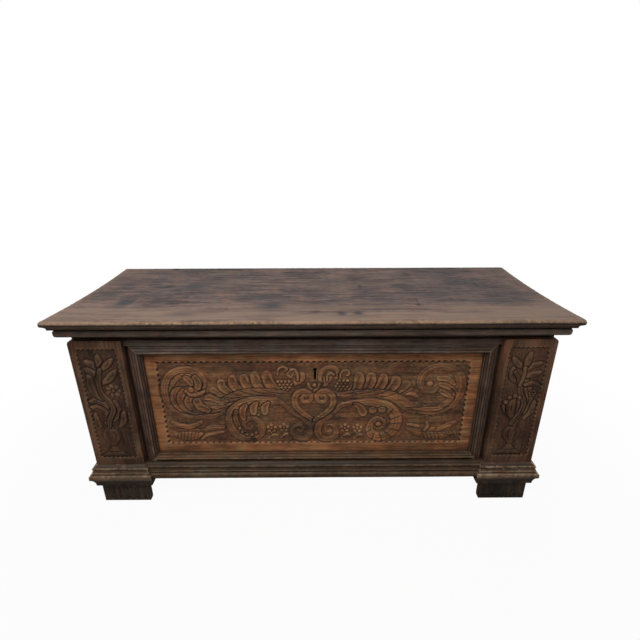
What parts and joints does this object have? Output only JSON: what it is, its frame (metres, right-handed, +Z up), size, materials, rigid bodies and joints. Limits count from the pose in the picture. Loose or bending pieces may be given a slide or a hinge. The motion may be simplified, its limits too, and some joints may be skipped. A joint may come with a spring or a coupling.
{
  "type": "cassone",
  "caption": "Long walnut chest with a carved front between corner pilasters, a hinged plank lid, a breakfront plinth and block feet.",
  "frame": {"origin": "on the floor, under the middle of the lid", "axes": "+X along the chest to the right as seen from the front, +Y from front to back, +Z up"},
  "size_m": [1.516, 0.58, 0.6694],
  "materials": {
    "lid_walnut": "old waxed walnut, worn and stained",
    "carved_walnut": "carved waxed walnut",
    "moulding_walnut": "dark waxed walnut",
    "carcass_walnut": "dark waxed walnut",
    "plinth_walnut": "worn waxed walnut",
    "foot_walnut": "dark scuffed walnut",
    "poplar": "bare aged poplar",
    "wrought_iron": "forged, dark"
  },
  "bodies": {
    "case": {"back_board_lower": "poplar", "back_board_upper": "poplar", "carved_panel": "carved_walnut", "floor_board_1": "poplar", "floor_board_2": "poplar", "floor_board_3": "poplar", "foot_front_left": "foot_walnut", "foot_front_right": "foot_walnut", "foot_rear_left": "foot_walnut", "foot_rear_right": "foot_walnut", "front_rail_bottom": "carcass_walnut", "front_rail_top": "carcass_walnut", "front_stile_left": "carcass_walnut", "front_stile_right": "carcass_walnut", "hinge_case_strap_left": "wrought_iron", "hinge_case_strap_right": "wrought_iron", "hinge_nails_case": "wrought_iron", "hinge_pin_left": "wrought_iron", "hinge_pin_right": "wrought_iron", "lock_cover": "wrought_iron", "lock_nails": "wrought_iron", "lock_plate": "wrought_iron", "panel_moulding_bottom": "moulding_walnut", "panel_moulding_left": "moulding_walnut", "panel_moulding_right": "moulding_walnut", "panel_moulding_top": "moulding_walnut", "pilaster_left": "carved_walnut", "pilaster_right": "carved_walnut", "plinth_center": "plinth_walnut", "plinth_corner_left": "plinth_walnut", "plinth_corner_right": "plinth_walnut", "plinth_side_left": "plinth_walnut", "plinth_side_right": "plinth_walnut", "side_board_left": "carcass_walnut", "side_board_right": "carcass_walnut"},
    "lid": {"hinge_lid_strap_left": "wrought_iron", "hinge_lid_strap_right": "wrought_iron", "hinge_nails_lid": "wrought_iron", "lid_board": "lid_walnut", "lid_moulding_front": "moulding_walnut", "lid_moulding_left": "moulding_walnut", "lid_moulding_right": "moulding_walnut", "lid_staple": "wrought_iron", "staple_nails": "wrought_iron"},
    "lock_bolt": {"lock_bolt": "wrought_iron"}
  },
  "joints": [
    {"name": "lid_hinge", "type": "hinge", "parent": "case", "child": "lid", "pos_m": [0, 0.2818, 0.64], "axis": [-1, 0, 0], "range_deg": [0, 100]},
    {"name": "bolt_slide", "type": "slide", "parent": "case", "child": "lock_bolt", "axis": [-1, 0, 0], "range_m": [0, 0.014]}
  ]
}
